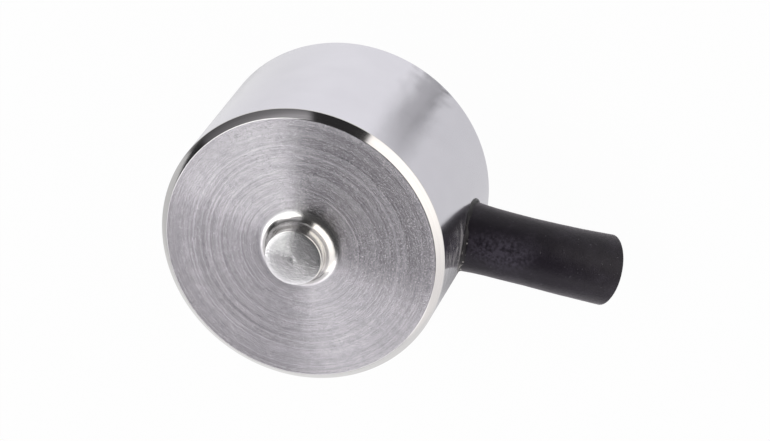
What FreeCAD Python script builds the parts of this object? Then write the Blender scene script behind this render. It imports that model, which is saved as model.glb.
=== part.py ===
import FreeCAD
import Part
import Sketcher
import math
import os
from FreeCAD import Vector

# Miniature button load cell, in millimetres.
# The origin is the centre of the seating rim, +Z is the load axis and the lead leaves towards +X.

DRIVING_SIZES = [
    ("body_diameter", 12.0, "outside of the turned body"),
    ("body_height", 7.75, "seating rim to loading face"),
    ("wall_thickness", 1.5, "side wall round the lower cavity"),
    ("face_chamfer", 0.3, "bevel round the loading face"),
    ("rim_chamfer", 0.15, "bevel round the seating rim"),
    ("button_diameter", 2.4, "load button"),
    ("button_height", 1.05, "button above the loading face"),
    ("button_root_fillet", 0.55, "hollow at the foot of the button"),
    ("button_edge_fillet", 0.04, "round on the top edge of the button"),
    ("web_thickness", 0.9, "bending web under the loading face"),
    ("web_fillet", 0.2, "inner corners of the web"),
    ("hub_diameter", 2.8, "stiff boss under the button"),
    ("hub_depth", 0.8, "boss below the web"),
    ("ledge_width", 0.5, "ledge that the board seats under"),
    ("cover_seat_width", 0.5, "step that the back cover seats on"),
    ("cover_thickness", 1.05, "back cover"),
    ("cover_recess", 0.15, "back cover above the seating rim"),
    ("cover_chamfer", 0.12, "edges of the back cover"),
    ("fit_clearance", 0.02, "radial gap of pieces that fit into each other"),
    ("core_diameter", 0.26, "copper of one conductor"),
    ("insulation_thickness", 0.12, "insulation of one conductor"),
    ("shield_thickness", 0.1, "braided screen"),
    ("jacket_thickness", 0.19, "jacket of the lead"),
    ("jacket_tail", 0.1, "jacket past the anchor ring"),
    ("port_clearance", 0.05, "radial gap of the jacket in the wall"),
    ("sleeve_wall", 0.468, "rubber sleeve over the jacket"),
    ("sleeve_seat_depth", 0.8, "sleeve inside the wall"),
    ("sleeve_straight", 1.55, "straight sleeve outside the wall"),
    ("sleeve_bend_radius", 7.25, "droop of the sleeve"),
    ("sleeve_bend_angle", 34.7, "droop of the sleeve, degrees"),
    ("sleeve_lean", 22.5, "sideways lean of the droop, degrees"),
    ("sleeve_edge_fillet", 0.03, "round on the open end of the sleeve"),
    ("seal_gap", 0.262, "resin round the sleeve inside the wall"),
    ("seal_radius", 0.28, "hollow of the resin where it meets the sleeve outside"),
    ("anchor_wall", 0.34, "crimped ring on the jacket"),
    ("anchor_length", 0.8, "crimped ring on the jacket"),
    ("lead_floor_gap", 0.4, "anchor ring above the back cover"),
    ("lead_roof_gap", 0.1, "anchor ring below the board"),
    ("board_thickness", 0.6, "terminal board"),
    ("board_clearance", 0.05, "radial gap of the board in the cavity"),
    ("board_hole_margin", 0.3, "hole of the board outside the boss"),
    ("land_thickness", 0.035, "copper lands on the board"),
    ("conductor_land", 0.9, "diameter of a conductor's land"),
    ("gauge_land", 0.5, "diameter of a gauge ribbon's land"),
    ("gauge_margin", 0.15, "gauge to the web's corner fillets"),
    ("gauge_width", 1.5, "gauge carrier, across"),
    ("carrier_thickness", 0.05, "gauge carrier film"),
    ("foil_thickness", 0.02, "gauge foil"),
    ("grid_line_width", 0.07, "one line of the foil grid"),
    ("grid_pitch", 0.15, "lines of the foil grid"),
    ("tab_length", 0.45, "soldering tab of a gauge"),
    ("tab_spread", 0.8, "between the centres of a gauge's tabs"),
    ("ribbon_width", 0.14, "flat ribbon from gauge to board"),
    ("ribbon_thickness", 0.05, "flat ribbon from gauge to board"),
    ("ribbon_jog", 0.45, "slack bend of the ribbon"),
    ("chip_length", 1.0, "trimming resistor"),
    ("chip_width", 0.5, "trimming resistor"),
    ("chip_height", 0.35, "trimming resistor"),
    ("chip_terminal", 0.2, "metal end of a resistor"),
    ("chip_terminal_film", 0.02, "metal end proud of the ceramic"),
    ("solder_height", 0.3, "soldered end of a conductor"),
    ("gauge_solder_height", 0.2, "soldered end of a ribbon"),
    ("solder_margin", 0.04, "edge of a land left free of solder"),
    ("solder_skin", 0.05, "solder round the wire at the top of a joint"),
    ("strip_length", 0.4, "bare copper at the board"),
    ("wire_bend", 0.5, "bends of a conductor inside the cavity"),
    ("fan_length", 0.5, "conductors run on past the jacket before they fan out"),
]

GRID_LINES = 8
JOG_START = 0.35
JOG_END = 0.65
JOG_BEND = 0.2
SAME_PLACE = 1e-4
SWEEP_TOLERANCE = 0.001
GAUGE_ANGLES = [0, 90, 180, 270]
CONDUCTORS = [
    ("red_wire", 1, 1, 45),
    ("black_wire", -1, 1, -45),
    ("green_wire", 1, -1, 75),
    ("white_wire", -1, -1, -75),
]
CHIPS = [
    ("zero_balance_resistor", 115),
    ("zero_drift_resistor", 155),
    ("span_resistor_1", 205),
    ("span_resistor_2", 245),
]

doc = FreeCAD.newDocument("load_cell")
sheet = doc.addObject("Spreadsheet::Sheet", "sizes")
for row, (alias, number, meaning) in enumerate(DRIVING_SIZES, start=1):
    sheet.set(f"A{row}", alias)
    sheet.set(f"B{row}", str(number))
    sheet.set(f"C{row}", meaning)
    sheet.setAlias(f"B{row}", alias)
doc.recompute()


class Size:
    """A length with its value and the sheet expression that it comes from."""

    def __init__(self, value, text):
        self.value = value
        self.text = text

    def combine(self, other, sign, value):
        text = other.text if isinstance(other, Size) else str(other)
        return Size(value, f"({self.text} {sign} {text})")

    def __add__(self, other):
        return self.combine(other, "+", self.value + number_of(other))

    def __sub__(self, other):
        return self.combine(other, "-", self.value - number_of(other))

    def __mul__(self, other):
        return self.combine(other, "*", self.value * number_of(other))

    def __truediv__(self, other):
        return self.combine(other, "/", self.value / number_of(other))

    def __neg__(self):
        return Size(-self.value, f"(0 - {self.text})")

    def leg(self, other):
        """The other leg of a right triangle whose hypotenuse is this size."""
        value = math.sqrt(self.value ** 2 - other.value ** 2)
        return Size(value, f"sqrt({self.text} ^ 2 - {other.text} ^ 2)")


def number_of(thing):
    return thing.value if isinstance(thing, Size) else thing


def size(alias):
    return Size(float(sheet.get(alias)), f"sizes.{alias}")


def bind(thing, path, length):
    thing.setExpression(path, length.text)


# Radii of the body and heights of its inner steps
body_radius = size("body_diameter") / 2
body_height = size("body_height")
cavity_radius = body_radius - size("wall_thickness")
chamber_radius = cavity_radius - size("ledge_width")
cover_seat_radius = cavity_radius + size("cover_seat_width")
hub_radius = size("hub_diameter") / 2
button_radius = size("button_diameter") / 2
button_top = body_height + size("button_height")
fit = size("fit_clearance")

# Radii of the lead, from the copper outwards
core_radius = size("core_diameter") / 2
conductor_radius = core_radius + size("insulation_thickness")
conductor_offset = conductor_radius + fit / 2
shield_bore = conductor_offset * math.sqrt(2) + conductor_radius + fit
shield_radius = shield_bore + size("shield_thickness")
jacket_bore = shield_radius + fit
jacket_radius = jacket_bore + size("jacket_thickness")
port_radius = jacket_radius + size("port_clearance")
sleeve_bore = jacket_radius + fit
sleeve_radius = sleeve_bore + size("sleeve_wall")
seal_outer = sleeve_radius + size("seal_gap")
anchor_bore = jacket_radius + fit
anchor_radius = anchor_bore + size("anchor_wall")

# Heights, from the seating rim upwards
cover_top = size("cover_recess") + size("cover_thickness")
lead_height = cover_top + size("lead_floor_gap") + anchor_radius
board_bottom = lead_height + anchor_radius + size("lead_roof_gap")
board_top = board_bottom + size("board_thickness")
web_bottom = body_height - size("web_thickness")
hub_bottom = web_bottom - size("hub_depth")

# Stations along the lead, from the axis of the body outwards
anchor_outer = cavity_radius.leg(anchor_radius) - fit
anchor_inner = anchor_outer - size("anchor_length")
jacket_start = anchor_inner - size("jacket_tail")
sleeve_start = body_radius - size("sleeve_seat_depth")
bend_start = body_radius + size("sleeve_straight")
bend_radius = size("sleeve_bend_radius")
bend_angle = size("sleeve_bend_angle")

# The board's ring and the circle on which its lands lie
board_radius = cavity_radius - size("board_clearance")
board_hole = hub_radius + size("board_hole_margin")
land_circle = (board_radius + board_hole) / 2

# Where a gauge lies under the web
gauge_inner = hub_radius + size("web_fillet") + size("gauge_margin")
gauge_outer = chamber_radius - size("web_fillet") - size("gauge_margin")
tab_inner = gauge_outer - size("gauge_margin") - size("tab_length")
tab_middle = tab_inner + size("tab_length") / 2
wire_foot = tab_middle - size("ribbon_jog")
foil_bottom = web_bottom - size("carrier_thickness") - size("foil_thickness")

sub_parts = []


def new_body(label):
    body = doc.addObject("PartDesign::Body", label)
    body.Label = label
    sub_parts.append(body)
    return body


def new_sketch(body, name, role, offset=None):
    """A sketch on one of the body's own origin planes, moved along its normal by an offset."""
    sketch = body.newObject("Sketcher::SketchObject", name)
    plane = next(feature for feature in body.Origin.OriginFeatures if feature.Role == role)
    sketch.AttachmentSupport = [(plane, "")]
    sketch.MapMode = "FlatFace"
    if offset is not None:
        bind(sketch, "AttachmentOffset.Base.z", offset)
    return sketch


def pin_coordinate(sketch, kind, geometry, point, length):
    """Hold one coordinate of a point at a size, or on the axis where it is zero."""
    if number_of(length) == 0:
        axis = -2 if kind == "DistanceX" else -1
        sketch.addConstraint(Sketcher.Constraint("PointOnObject", geometry, point, axis))
        return
    constraint = Sketcher.Constraint(kind, -1, 1, geometry, point, length.value)
    index = sketch.addConstraint(constraint)
    bind(sketch, f"Constraints[{index}]", length)


def pin_point(sketch, geometry, point, across, up):
    pin_coordinate(sketch, "DistanceX", geometry, point, across)
    pin_coordinate(sketch, "DistanceY", geometry, point, up)


def draw_outline(sketch, corners):
    """A closed outline of straight lines with every corner held by its two sizes."""
    first = sketch.GeometryCount
    places = [Vector(number_of(across), number_of(up), 0) for across, up in corners]
    for here, there in zip(places, places[1:] + places[:1]):
        sketch.addGeometry(Part.LineSegment(here, there), False)
    for step, (across, up) in enumerate(corners):
        line = first + step
        following = first + (step + 1) % len(corners)
        sketch.addConstraint(Sketcher.Constraint("Coincident", line, 2, following, 1))
        pin_point(sketch, line, 1, across, up)


def draw_rectangle(sketch, left, bottom, right, top):
    draw_outline(sketch, [(left, bottom), (right, bottom), (right, top), (left, top)])


def draw_circle(sketch, across, up, radius):
    middle = Vector(number_of(across), number_of(up), 0)
    circle = sketch.addGeometry(Part.Circle(middle, Vector(0, 0, 1), radius.value), False)
    pin_point(sketch, circle, 3, across, up)
    index = sketch.addConstraint(Sketcher.Constraint("Radius", circle, radius.value))
    bind(sketch, f"Constraints[{index}]", radius)


def add_pad(body, name, sketch, length, downwards=False):
    pad = body.newObject("PartDesign::Pad", name)
    pad.Profile = sketch
    pad.Reversed = downwards
    bind(pad, "Length", length)
    return pad


def add_revolution(body, name, sketch, axis):
    revolution = body.newObject("PartDesign::Revolution", name)
    revolution.Profile = sketch
    revolution.ReferenceAxis = (sketch, [axis])
    revolution.Angle = 360
    return revolution


def cut_through(body, name, sketch, forwards):
    """A pocket through everything on one side of its sketch, which has to remove material."""
    doc.recompute()
    before = body.Shape.Volume
    pocket = body.newObject("PartDesign::Pocket", name)
    pocket.Profile = sketch
    pocket.Type = "ThroughAll"
    pocket.Reversed = forwards
    doc.recompute()
    if body.Shape.Volume >= before:
        raise RuntimeError(f"{name} removed nothing")
    return pocket


def circle_edges(shape, radius, height):
    """Names of the circles about the load axis with this radius, at this height."""
    found = []
    for index, edge in enumerate(shape.Edges, start=1):
        if not isinstance(edge.Curve, Part.Circle):
            continue
        same_radius = abs(edge.Curve.Radius - radius.value) < SAME_PLACE
        same_height = abs(edge.Curve.Center.z - height.value) < SAME_PLACE
        if same_radius and same_height:
            found.append(f"Edge{index}")
    return found


def add_edge_feature(body, kind, name, base, edges, property_name, length):
    feature = body.newObject(kind, name)
    feature.Base = (base, edges)
    bind(feature, property_name, length)
    body.Tip = feature
    doc.recompute()
    return feature


def add_fillet(body, name, base, edges, radius):
    return add_edge_feature(body, "PartDesign::Fillet", name, base, edges, "Radius", radius)


def add_chamfer(body, name, base, edges, length):
    return add_edge_feature(body, "PartDesign::Chamfer", name, base, edges, "Size", length)


def make_sensing_body():
    """The turned body: button, loading face, web, boss, ledge and cover seat in one revolved section."""
    body = new_body("sensing_body")
    section = new_sketch(body, "turned_section", "XZ_Plane")
    chamfer = size("face_chamfer")
    rim_chamfer = size("rim_chamfer")
    draw_outline(section, [
        (0, button_top),
        (button_radius, button_top),
        (button_radius, body_height),
        (body_radius - chamfer, body_height),
        (body_radius, body_height - chamfer),
        (body_radius, rim_chamfer),
        (body_radius - rim_chamfer, 0),
        (cover_seat_radius, 0),
        (cover_seat_radius, cover_top),
        (cavity_radius, cover_top),
        (cavity_radius, board_top),
        (chamber_radius, board_top),
        (chamber_radius, web_bottom),
        (hub_radius, web_bottom),
        (hub_radius, hub_bottom),
        (0, hub_bottom),
    ])
    turned = add_revolution(body, "turned_body", section, "V_Axis")
    doc.recompute()

    web_corners = circle_edges(turned.Shape, chamber_radius, web_bottom)
    web_corners += circle_edges(turned.Shape, hub_radius, web_bottom)
    webbed = add_fillet(body, "web_corners", turned, web_corners, size("web_fillet"))
    foot = circle_edges(webbed.Shape, button_radius, body_height)
    footed = add_fillet(body, "button_foot", webbed, foot, size("button_root_fillet"))
    edge = circle_edges(footed.Shape, button_radius, button_top)
    add_fillet(body, "button_edge", footed, edge, size("button_edge_fillet"))

    port = new_sketch(body, "lead_port_circle", "YZ_Plane")
    draw_circle(port, 0, lead_height, port_radius)
    cut_through(body, "lead_port", port, True)
    seat = new_sketch(body, "sleeve_seat_circle", "YZ_Plane", sleeve_start)
    draw_circle(seat, 0, lead_height, seal_outer)
    cut_through(body, "sleeve_seat", seat, True)


def make_back_cover():
    """Disc pressed up to its step, clear of the plane that the rim stands on."""
    body = new_body("back_cover")
    circle = new_sketch(body, "cover_circle", "XY_Plane", size("cover_recess"))
    draw_circle(circle, 0, 0, cover_seat_radius - fit)
    disc = add_pad(body, "cover_disc", circle, size("cover_thickness"))
    doc.recompute()
    edges = circle_edges(disc.Shape, cover_seat_radius - fit, size("cover_recess"))
    edges += circle_edges(disc.Shape, cover_seat_radius - fit, cover_top)
    add_chamfer(body, "cover_edges", disc, edges, size("cover_chamfer"))


def polar(radius, angle, sideways=0.0):
    """A point at a radius and angle about the load axis, moved sideways along the tangent."""
    turn = math.radians(angle)
    across = radius * math.cos(turn) - sideways * math.sin(turn)
    along = radius * math.sin(turn) + sideways * math.cos(turn)
    return Vector(across, along, 0)


def sheet_polar(radius, angle, sideways=None):
    """The same point as two sizes, for a sketch that is bound to the sheet."""
    turn = math.radians(angle)
    across = radius * round(math.cos(turn), 9)
    along = radius * round(math.sin(turn), 9)
    if sideways is not None:
        across = across - sideways * round(math.sin(turn), 9)
        along = along + sideways * round(math.cos(turn), 9)
    return across, along


def make_terminal_board():
    """Ring-shaped board under the ledge, with lands for the conductors below and the gauge wires above."""
    body = new_body("terminal_board")
    ring = new_sketch(body, "board_ring", "XY_Plane", board_bottom)
    draw_circle(ring, 0, 0, board_radius)
    draw_circle(ring, 0, 0, board_hole)
    add_pad(body, "board_plate", ring, size("board_thickness"))
    doc.recompute()
    lower = new_sketch(body, "conductor_lands", "XY_Plane", board_bottom)
    for name, side, level, angle in CONDUCTORS:
        across, along = sheet_polar(land_circle, angle)
        draw_circle(lower, across, along, size("conductor_land") / 2)
    add_pad(body, "conductor_copper", lower, size("land_thickness"), downwards=True)
    doc.recompute()
    upper = new_sketch(body, "gauge_lands", "XY_Plane", board_top)
    for angle in GAUGE_ANGLES:
        for side in (-1, 1):
            across, along = sheet_polar(wire_foot, angle, size("tab_spread") / 2 * side)
            draw_circle(upper, across, along, size("gauge_land") / 2)
    add_pad(body, "gauge_copper", upper, size("land_thickness"))


def make_strain_gauge(number, angle):
    """Carrier film with a foil grid along the radius and two soldering tabs at its outer end."""
    body = new_body(f"strain_gauge_{number}")
    half_width = size("gauge_width") / 2
    film = new_sketch(body, "carrier_outline", "XY_Plane", web_bottom)
    draw_rectangle(film, gauge_inner, -half_width, gauge_outer, half_width)
    add_pad(body, "carrier", film, size("carrier_thickness"), downwards=True)
    doc.recompute()

    film_bottom = web_bottom - size("carrier_thickness")
    grid_start = gauge_inner + size("gauge_margin")
    line_width = size("grid_line_width")
    grid_half = size("grid_pitch") * ((GRID_LINES - 1) / 2)
    line = new_sketch(body, "grid_line", "XY_Plane", film_bottom)
    draw_rectangle(line, grid_start, -grid_half - line_width / 2, tab_inner, -grid_half + line_width / 2)
    first_line = add_pad(body, "first_line", line, size("foil_thickness"), downwards=True)
    doc.recompute()
    grid = body.newObject("PartDesign::LinearPattern", "foil_grid")
    grid.Originals = [first_line]
    grid.Direction = (line, ["V_Axis"])
    bind(grid, "Length", grid_half * 2)
    grid.Occurrences = GRID_LINES
    body.Tip = grid
    doc.recompute()

    tabs = new_sketch(body, "tab_outline", "XY_Plane", film_bottom)
    tab_half = size("tab_length") / 2
    for side in (-1, 1):
        middle = size("tab_spread") / 2 * side
        tab_outer = tab_inner + tab_half * 2
        draw_rectangle(tabs, tab_inner, middle - tab_half / 2, tab_outer, middle + tab_half / 2)
    add_pad(body, "solder_tabs", tabs, size("foil_thickness"), downwards=True)
    body.Placement.Rotation = FreeCAD.Rotation(Vector(0, 0, 1), angle)


def make_chip(label, angle):
    """Trimming resistor under the board: a ceramic block with a metal cap on each end."""
    body = new_body(label)
    film = size("chip_terminal_film")
    half_length = size("chip_length") / 2
    half_width = size("chip_width") / 2
    block = new_sketch(body, "ceramic_outline", "XY_Plane", board_bottom - film)
    draw_rectangle(block, film - half_width, film - half_length, half_width - film, half_length - film)
    add_pad(body, "ceramic", block, size("chip_height") - film * 2, downwards=True)
    doc.recompute()
    ends = new_sketch(body, "terminal_outline", "XY_Plane", board_bottom)
    inner = half_length - size("chip_terminal")
    draw_rectangle(ends, -half_width, inner, half_width, half_length)
    draw_rectangle(ends, -half_width, -half_length, half_width, -inner)
    add_pad(body, "terminals", ends, size("chip_height"), downwards=True)
    turn = math.radians(angle)
    body.Placement.Rotation = FreeCAD.Rotation(Vector(0, 0, 1), angle)
    bind(body, "Placement.Base.x", land_circle * round(math.cos(turn), 9))
    bind(body, "Placement.Base.y", land_circle * round(math.sin(turn), 9))


def make_lead_tube(label, outer, bore, start):
    """A tube round the lead's axis: straight from its start through the wall, then the drooping arc."""
    body = new_body(label)
    spine = new_sketch(body, "spine", "XZ_Plane")
    spine.addGeometry(Part.LineSegment(Vector(start.value, 0, 0), Vector(bend_start.value, 0, 0)), False)
    middle = Vector(bend_start.value, -bend_radius.value, 0)
    droop = math.radians(bend_angle.value)
    circle = Part.Circle(middle, Vector(0, 0, 1), bend_radius.value)
    spine.addGeometry(Part.ArcOfCircle(circle, math.pi / 2 - droop, math.pi / 2), False)
    pin_point(spine, 0, 1, start, 0)
    pin_point(spine, 0, 2, bend_start, 0)
    spine.addConstraint(Sketcher.Constraint("Tangent", 0, 2, 1, 2))
    radius = spine.addConstraint(Sketcher.Constraint("Radius", 1, bend_radius.value))
    bind(spine, f"Constraints[{radius}]", bend_radius)
    angle = spine.addConstraint(Sketcher.Constraint("Angle", 1, droop))
    bind(spine, f"Constraints[{angle}]", bend_angle)

    ring = new_sketch(body, "ring", "YZ_Plane", start)
    draw_circle(ring, 0, 0, outer)
    draw_circle(ring, 0, 0, bore)
    doc.recompute()
    tube = body.newObject("PartDesign::AdditivePipe", "tube")
    tube.Profile = ring
    tube.Spine = (spine, ["Edge1", "Edge2"])
    doc.recompute()
    length = bend_start.value - start.value + droop * bend_radius.value
    expected = math.pi * (outer.value ** 2 - bore.value ** 2) * length
    if abs(tube.Shape.Volume - expected) > expected * SWEEP_TOLERANCE:
        raise RuntimeError(f"{label} isn't its section times its length")

    # Any first angle sets the axis of the turn, and the sheet then gives the angle.
    body.Placement.Rotation = FreeCAD.Rotation(Vector(1, 0, 0), 1)
    bind(body, "Placement.Base.z", lead_height)
    bind(body, "Placement.Rotation.Angle", -size("sleeve_lean"))
    return body


def make_sleeve():
    """The black rubber sleeve, seated in the wall and rounded at its open end."""
    body = make_lead_tube("strain_relief_sleeve", sleeve_radius, sleeve_bore, sleeve_start)
    tube = body.Tip
    droop = math.radians(bend_angle.value)
    end_across = bend_start.value + bend_radius.value * math.sin(droop)
    rim = []
    for index, edge in enumerate(tube.Shape.Edges, start=1):
        if not isinstance(edge.Curve, Part.Circle):
            continue
        at_end = abs(edge.Curve.Center.x - end_across) < SAME_PLACE
        if at_end and abs(edge.Curve.Radius - sleeve_radius.value) < SAME_PLACE:
            rim.append(f"Edge{index}")
    add_fillet(body, "open_end", tube, rim, size("sleeve_edge_fillet"))


def make_anchor_ring():
    """Crimped ring behind the wall, so that a pull on the lead is stopped there."""
    body = new_body("anchor_ring")
    ring = new_sketch(body, "ring", "YZ_Plane", anchor_inner)
    draw_circle(ring, 0, lead_height, anchor_radius)
    draw_circle(ring, 0, lead_height, anchor_bore)
    add_pad(body, "crimped_ring", ring, size("anchor_length"))


def add_rod(name, radius, start, end):
    """A plain rod along the lead's axis, a tool for the resin's shape."""
    rod = doc.addObject("Part::Cylinder", name)
    bind(rod, "Radius", radius)
    bind(rod, "Height", end - start)
    rod.Placement.Rotation = FreeCAD.Rotation(Vector(0, 1, 0), 90)
    bind(rod, "Placement.Base.x", start)
    bind(rod, "Placement.Base.z", lead_height)
    return rod


def add_boolean(kind, name, base, tool):
    result = doc.addObject(kind, name)
    result.Base = base
    result.Tool = tool
    doc.recompute()
    return result


def make_exit_seal():
    """Cast resin: a collar round the sleeve in the wall, and a rolling-ball bead in the corner outside."""
    wall = doc.addObject("Part::Cylinder", "seal_wall")
    bind(wall, "Radius", body_radius)
    bind(wall, "Height", lead_height * 2)
    stub = add_rod("seal_stub", sleeve_radius, sleeve_start, bend_start)
    joint = add_boolean("Part::Fuse", "seal_joint", wall, stub)
    corner = []
    for index, edge in enumerate(joint.Shape.Edges, start=1):
        if isinstance(edge.Curve, (Part.Circle, Part.Line)):
            continue
        corner.append((index, size("seal_radius").value, size("seal_radius").value))
    rounded = doc.addObject("Part::Fillet", "seal_rounded")
    rounded.Base = joint
    rounded.Edges = corner
    doc.recompute()
    bead = add_boolean("Part::Cut", "seal_bead", rounded, joint)

    pocket = add_rod("seal_pocket", seal_outer, sleeve_start, bend_start)
    filled = add_boolean("Part::Common", "seal_filled", wall, pocket)
    collar = add_boolean("Part::Cut", "seal_collar", filled, stub)
    seal = add_boolean("Part::Fuse", "exit_seal", collar, bead)
    seal.Refine = True
    seal.Label = "exit_seal"
    sub_parts.append(seal)


def rounded_route(points, radii):
    """Straight runs through the points, joined at each inner point by a tangent arc of its radius."""
    edges = []
    start = points[0]
    for before, corner, after, radius in zip(points, points[1:], points[2:], radii):
        backwards = (before - corner).normalize()
        forwards = (after - corner).normalize()
        half_turn = (math.pi - backwards.getAngle(forwards)) / 2
        setback = radius * math.tan(half_turn)
        arc_start = corner + backwards * setback
        arc_end = corner + forwards * setback
        bisector = (backwards + forwards).normalize()
        middle = corner + bisector * (radius / math.cos(half_turn) - radius)
        edges.append(Part.LineSegment(start, arc_start).toShape())
        edges.append(Part.Arc(arc_start, middle, arc_end).toShape())
        start = arc_end
    edges.append(Part.LineSegment(start, points[-1]).toShape())
    return edges


def sweep(edges, section):
    """A closed section carried along a route from its start."""
    path = Part.Wire(edges)
    rod = path.makePipeShell([section], True, True)
    expected = Part.Face(section).Area * path.Length
    if abs(rod.Volume - expected) > expected * SWEEP_TOLERANCE:
        raise RuntimeError("a wire isn't its section times its length")
    return rod


def round_rod(edges, radius):
    heading = edges[0].tangentAt(edges[0].FirstParameter)
    start = edges[0].valueAt(edges[0].FirstParameter)
    return sweep(edges, Part.Wire([Part.Circle(start, heading, radius).toShape()]))


def drooping_arc(offset):
    """The arc that a conductor follows beside the lead's axis, and its start."""
    lean = math.radians(size("sleeve_lean").value)
    inwards = Vector(0, -math.sin(lean), -math.cos(lean))
    beside = offset.dot(inwards)
    start = Vector(bend_start.value, offset.y, lead_height.value + offset.z)
    radius = bend_radius.value - beside
    centre = start + inwards * radius

    def at(angle):
        return centre + Vector(1, 0, 0) * (radius * math.sin(angle)) - inwards * (radius * math.cos(angle))

    droop = math.radians(bend_angle.value)
    return start, Part.Arc(start, at(droop / 2), at(droop)).toShape()


def conductor_route(side, level, angle, board_end):
    """From a height under the board, round to the lead's axis and out to the end of the sleeve."""
    offset = Vector(0, side * conductor_offset.value, level * conductor_offset.value)
    height = lead_height.value + offset.z
    land = polar(land_circle.value, angle)
    turn = Vector(land.x, land.y, height)
    fan = Vector(jacket_start.value - size("fan_length").value, offset.y, height)
    bend_out, arc = drooping_arc(offset)
    points = [Vector(land.x, land.y, board_end), turn, fan, bend_out]
    bend = size("wire_bend").value
    return rounded_route(points, [bend, bend]) + [arc]


def add_feature(label, shape):
    feature = doc.addObject("Part::Feature", label)
    feature.Label = label
    feature.Shape = shape
    feature.Placement = FreeCAD.Placement()
    sub_parts.append(feature)


def make_conductor(label, side, level, angle):
    """One insulated wire, stripped to its copper for the last stretch up to the land."""
    land_bottom = board_bottom.value - size("land_thickness").value
    stripped = land_bottom - size("strip_length").value
    insulated = round_rod(conductor_route(side, level, angle, stripped), conductor_radius.value)
    land = polar(land_circle.value, angle)
    foot = Vector(land.x, land.y, stripped)
    copper = Part.makeCylinder(core_radius.value, land_bottom - stripped, foot)
    add_feature(label, insulated.fuse(copper).Solids[0])


def gauge_ribbon(angle, sideways):
    """A flat ribbon from a gauge's tab down to its land on the board, with a slack bend."""
    top = foil_bottom.value
    bottom = board_top.value + size("land_thickness").value
    drop = top - bottom
    heights = [top, top - drop * JOG_START, top - drop * JOG_END, bottom]
    radii = [tab_middle.value, tab_middle.value, wire_foot.value, wire_foot.value]
    points = []
    for radius, height in zip(radii, heights):
        place = polar(radius, angle, sideways)
        points.append(Vector(place.x, place.y, height))
    outwards = polar(size("ribbon_thickness").value / 2, angle)
    across = polar(0, angle, size("ribbon_width").value / 2)
    corners = [outwards + across, outwards - across, -outwards - across, -outwards + across]
    section = Part.makePolygon([points[0] + corner for corner in corners + corners[:1]])
    bend = drop * JOG_BEND
    return sweep(rounded_route(points, [bend, bend]), section)


def make_gauge_wires(number, angle):
    half_spread = size("tab_spread").value / 2
    pair = [gauge_ribbon(angle, side * half_spread) for side in (-1, 1)]
    add_feature(f"gauge_wires_{number}", Part.makeCompound(pair))


def solder_cone(place, height, rise, land, lead, lead_half):
    """A soldered end: a cone on its land with the lead's own space left out."""
    base = Vector(place.x, place.y, height)
    axis = Vector(0, 0, math.copysign(1, rise))
    foot = land / 2 - size("solder_margin").value
    cone = Part.makeCone(foot, lead_half + size("solder_skin").value, abs(rise), base, axis)
    return cone.cut(lead).Solids[0]


def make_solder_joints():
    joints = []
    below = board_bottom.value - size("land_thickness").value
    land = size("conductor_land").value
    rise = size("solder_height").value
    for label, side, level, angle in CONDUCTORS:
        place = polar(land_circle.value, angle)
        copper = Part.makeCylinder(core_radius.value, rise, Vector(place.x, place.y, below - rise))
        joints.append(solder_cone(place, below, -rise, land, copper, core_radius.value))
    above = board_top.value + size("land_thickness").value
    land = size("gauge_land").value
    rise = size("gauge_solder_height").value
    for angle in GAUGE_ANGLES:
        for side in (-1, 1):
            sideways = side * size("tab_spread").value / 2
            place = polar(wire_foot.value, angle, sideways)
            ribbon = gauge_ribbon(angle, sideways)
            joints.append(solder_cone(place, above, rise, land, ribbon, size("ribbon_width").value / 2))
    add_feature("solder_joints", Part.makeCompound(joints))


make_sensing_body()
make_back_cover()
make_terminal_board()
for number, angle in enumerate(GAUGE_ANGLES, start=1):
    make_strain_gauge(number, angle)
    make_gauge_wires(number, angle)
for label, angle in CHIPS:
    make_chip(label, angle)
make_sleeve()
make_lead_tube("lead_jacket", jacket_radius, jacket_bore, jacket_start)
make_lead_tube("lead_shield", shield_radius, shield_bore, jacket_start)
for label, side, level, angle in CONDUCTORS:
    make_conductor(label, side, level, angle)
make_anchor_ring()
make_exit_seal()
make_solder_joints()
doc.recompute()

for thing in doc.Objects:
    if "Invalid" in thing.State or "Error" in thing.State:
        raise RuntimeError(f"{thing.Label} did not build: {thing.State}")
for part in sub_parts:
    if part.Shape.isNull() or not part.Shape.isValid():
        raise RuntimeError(f"{part.Label} has no valid shape")

os.makedirs("parts", exist_ok=True)
for part in sub_parts:
    part.Shape.exportStep(f"parts/{part.Label}.step")
    print(part.Label, len(part.Shape.Solids), "solids", round(part.Shape.Volume, 4), "mm3")
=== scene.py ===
# %% [markdown]
# A button load cell is a small turned steel can with a raised button on its face.
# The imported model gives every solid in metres, at its own place, and this lesson dresses it for a studio picture.
# The load axis is Z, the seating rim lies on the floor, and the lead leaves towards +X.

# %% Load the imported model
import math
import random

import bmesh
import bpy
from mathutils import Matrix, Quaternion, Vector, noise


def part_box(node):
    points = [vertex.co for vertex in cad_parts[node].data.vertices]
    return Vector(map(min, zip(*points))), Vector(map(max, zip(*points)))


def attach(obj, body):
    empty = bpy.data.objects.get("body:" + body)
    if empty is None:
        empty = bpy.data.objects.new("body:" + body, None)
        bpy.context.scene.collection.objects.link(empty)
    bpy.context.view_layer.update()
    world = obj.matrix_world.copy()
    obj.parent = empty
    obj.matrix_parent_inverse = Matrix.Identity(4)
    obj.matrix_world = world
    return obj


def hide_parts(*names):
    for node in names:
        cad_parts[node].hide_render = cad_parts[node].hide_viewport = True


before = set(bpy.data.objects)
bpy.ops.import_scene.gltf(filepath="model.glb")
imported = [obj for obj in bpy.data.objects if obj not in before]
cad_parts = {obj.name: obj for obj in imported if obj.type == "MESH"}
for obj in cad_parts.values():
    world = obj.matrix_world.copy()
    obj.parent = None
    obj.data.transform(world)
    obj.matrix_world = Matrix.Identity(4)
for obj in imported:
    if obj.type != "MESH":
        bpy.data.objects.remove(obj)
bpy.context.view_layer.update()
MM = 0.001

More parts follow.
